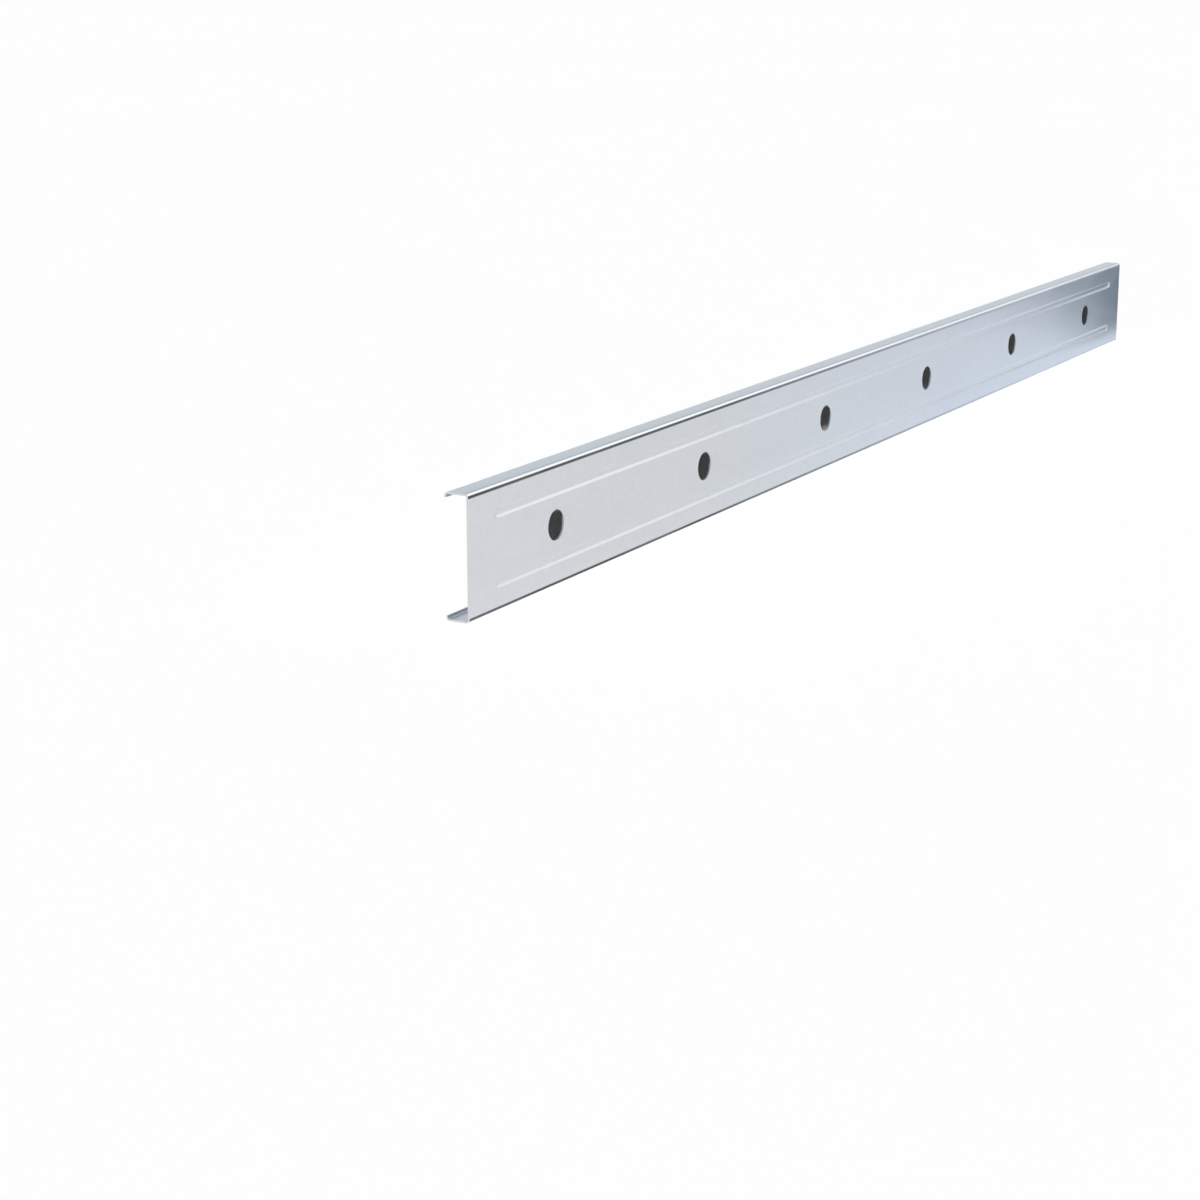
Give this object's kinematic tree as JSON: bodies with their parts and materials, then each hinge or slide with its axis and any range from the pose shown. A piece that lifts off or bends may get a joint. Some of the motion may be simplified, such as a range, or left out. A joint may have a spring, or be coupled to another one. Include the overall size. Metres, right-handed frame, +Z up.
{
  "type": "steel stud",
  "caption": "Roll-formed galvanised steel C-stud for framing, with lipped flanges, beads pressed along its web and round service holes.",
  "frame": {"origin": "middle of the underside of the lower flange, at half the stud's length", "axes": "+X along the stud, +Y from the web's flat outer face towards the open side of the channel, +Z up from the lower flange to the upper one"},
  "size_m": [2.4384, 0.0318, 0.1524],
  "materials": {
    "galvanised_steel": "hot-dip galvanised, semi-bright, with faint spangle and roll marks along the strip"
  },
  "bodies": {
    "root": {"c_stud": "galvanised_steel"}
  },
  "joints": []
}
